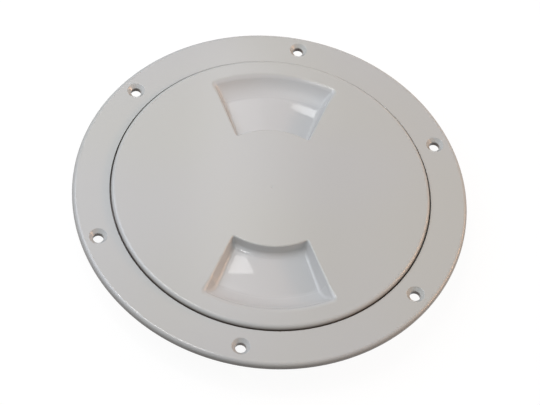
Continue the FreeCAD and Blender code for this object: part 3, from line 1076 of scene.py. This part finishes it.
class HATCH_OT_deck_ring(bpy.types.Operator):
    """Builds the flanged ring that is screwed to the deck"""
    bl_idname = "hatch.deck_ring"
    bl_label = "Deck Ring"

    def execute(self, context):
        ring, thread = context.scene.hatch_ring, context.scene.hatch_thread
        fine, edge, foot = ring.fine_edge, ring.flange_edge, ring.flange_foot
        corner, fillet = ring.recess_edge, ring.root_fillet
        recess_r = LID_R + ring.lid_gap
        piece = section_object("deck_ring_moulding", [
            *arc(thread.root_r + fine, ring.web - fine, fine, 180, 90, 3),
            *arc(recess_r - fine, ring.web + fine, fine, 270, 360, 3),
            *arc(recess_r + corner, FLANGE_TOP - corner, corner, 180, 90),
            *arc(FLANGE_R - edge, FLANGE_TOP - edge, edge, 90, 0, 12),
            *arc(FLANGE_R - foot, foot, foot, 0, -90, 8),
            *arc(COLLAR_R + fillet, -fillet, fillet, 90, 180),
            (COLLAR_R, COLLAR_END + ring.collar_bevel),
            (COLLAR_R - ring.collar_bevel, COLLAR_END),
            *arc(thread.root_r + fine, COLLAR_END + fine, fine, 270, 180, 3),
        ])
        cone_r, lip = ring.sink_d / 2, ring.sink_lip
        cone_top = FLANGE_TOP - (cone_r - SCREW_HOLE_R) / math.tan(ring.sink_angle / 2)
        lean = math.degrees(ring.sink_angle) / 2
        rim_r = cone_r + lip * math.tan(math.radians(lean) / 2)
        hole = section_object("hole_section", [
            (0, -CUT_PAST),
            (SCREW_HOLE_R, -CUT_PAST),
            (SCREW_HOLE_R, cone_top),
            *arc(rim_r, FLANGE_TOP - lip + CUT_CLEAR, lip, 180 - lean, 90),
            (rim_r, FLANGE_TOP + CUT_PAST),
            (0, FLANGE_TOP + CUT_PAST),
        ], closed=False)
        room = ridge_room(thread)
        ridge = ridge_object(thread, thread.root_r, COLLAR_END + room, -room, 0.0, -1)
        grow(
            piece, ring_tree("Deck ring"),
            hole_section=hole, screws=SCREW_COUNT, screw_circle=SCREW_CIRCLE_R,
            first_hole=ring.hole_turn, ridge=ridge, material=ring_asa(context.scene.hatch_finish),
        )
        drop(hole, ridge)
        finish_mesh(piece)
        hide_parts("deck_ring")
        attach(piece, "ring")
        return {"FINISHED"}


class HATCH_OT_lid(bpy.types.Operator):
    """Builds the lid with its two finger pockets"""
    bl_idname = "hatch.lid"
    bl_label = "Lid"

    def execute(self, context):
        scene = context.scene
        lid, pocket, thread = scene.hatch_lid, scene.hatch_pocket, scene.hatch_thread
        piece = lid_section(lid, thread)
        hub, rib = rib_objects(lid, thread)
        cutter, cup = pocket_cutter(pocket), pocket_cup(pocket, lid, thread)
        gate = section_object("gate_section", [
            *arc(0, LID_TOP - lid.gate_depth + lid.gate_r, lid.gate_r, -90, -50),
            (lid.gate_r, LID_TOP + CUT_CLEAR),
            (lid.gate_r, LID_TOP + CUT_PAST),
            (0, LID_TOP + CUT_PAST),
        ], closed=False)

        # The skirt's ridge starts where its upper flank lies under the collar's ridge
        room = ridge_room(thread)
        low = SKIRT_END + room
        overlap = thread.height - thread.crest_fit
        apart = thread.tip + overlap * math.tan(thread.flank) + thread.flank_fit
        start = (low - (COLLAR_END + room - apart)) / THREAD_LEAD * 2 * math.pi
        skirt_r, _ = skirt_radii(lid, thread)
        ridge = ridge_object(thread, skirt_r, low, lid.seat - room, start, 1)
        _, ramp_foot_r = pocket_feet(pocket)
        grow(
            piece, lid_tree("Lid"),
            hub_section=hub, gate_section=gate, rib=rib, ribs_a_side=RIBS_A_SIDE,
            rib_step=lid.rib_step, ridge=ridge, cup=cup, pocket=cutter, pockets=POCKETS,
            material=lid_asa(scene.hatch_finish, ramp_foot_r - WEAR_EARLY),
        )
        drop(hub, gate, rib, cutter, cup, ridge)
        finish_mesh(piece)
        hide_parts("lid")
        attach(piece, "cover")
        return {"FINISHED"}


class HATCH_OT_seal(bpy.types.Operator):
    """Builds the O-ring between the lid and the deck ring"""
    bl_idname = "hatch.seal"
    bl_label = "O-ring"

    def execute(self, context):
        seal = context.scene.hatch_seal
        radius = SEAL_THICKNESS / 2 - seal.flash
        points = []
        for turn in np.radians(np.arange(0, 360, 360 / seal.sides)):
            from_flash = min(abs(math.sin(turn)) * radius / seal.flash, 1.0)
            here = radius + seal.flash * (1 - from_flash)
            points.append((SEAL_R + here * math.cos(-turn), SEAL_Z + here * math.sin(-turn)))
        piece = section_object("lid_seal_rubber", points)
        grow(piece, seal_tree("O-ring"), material=nitrile_rubber(context.scene.hatch_finish))
        finish_mesh(piece)
        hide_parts("lid_seal")
        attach(piece, "seal")
        return {"FINISHED"}


class HATCH_OT_stage(bpy.types.Operator):
    """Builds the floor, the lamps, the world and the camera"""
    bl_idname = "hatch.stage"
    bl_label = "Stage"

    def execute(self, context):
        scene = context.scene
        scene.view_settings.view_transform = "Standard"
        scene.world = studio_world()
        floor = mesh_object("floor", [
            (x * FLOOR_HALF, y * FLOOR_HALF, COLLAR_END)
            for x, y in ((-1, -1), (1, -1), (1, 1), (-1, 1))
        ], faces=[(0, 1, 2, 3)])
        floor.data.materials.append(white_floor("matt_white_paper"))
        for lamp in LAMPS:
            add_lamp(*lamp)
        for pane in PANES:
            add_pane(*pane, LID_TOP - scene.hatch_pocket.depth)
        scene.camera = photo_camera()
        scene.collection.objects.link(scene.camera)
        return {"FINISHED"}


OPERATORS = (HATCH_OT_deck_ring, HATCH_OT_lid, HATCH_OT_seal, HATCH_OT_stage)
SETTINGS = {
    "hatch_thread": HatchThreadSizes,
    "hatch_ring": HatchRingSizes,
    "hatch_lid": HatchLidSizes,
    "hatch_pocket": HatchPocketSizes,
    "hatch_seal": HatchSealSizes,
    "hatch_finish": HatchFinish,
}


class HATCH_PT_pieces(bpy.types.Panel):
    """Lists the hatch's pieces and their sizes"""
    bl_label = "Hatch"
    bl_idname = "HATCH_PT_pieces"
    bl_space_type = "VIEW_3D"
    bl_region_type = "UI"
    bl_category = "Hatch"

    def draw(self, context):
        for operator in OPERATORS:
            self.layout.operator(operator.bl_idname)
        for label, group in SETTINGS.items():
            box = self.layout.box()
            box.label(text=group.__doc__)
            for size in group.__annotations__:
                box.prop(getattr(context.scene, label), size)


CLASSES = (*SETTINGS.values(), *OPERATORS, HATCH_PT_pieces)


def register():
    for made in CLASSES:
        bpy.utils.register_class(made)
    for label, group in SETTINGS.items():
        setattr(bpy.types.Scene, label, PointerProperty(type=group))


def unregister():
    for label in SETTINGS:
        delattr(bpy.types.Scene, label)
    for made in reversed(CLASSES):
        bpy.utils.unregister_class(made)


def main():
    """Builds the pieces and the stage."""
    register()
    bpy.ops.hatch.deck_ring()
    bpy.ops.hatch.lid()
    bpy.ops.hatch.seal()
    bpy.ops.hatch.stage()


if __name__ == "__main__":
    main()
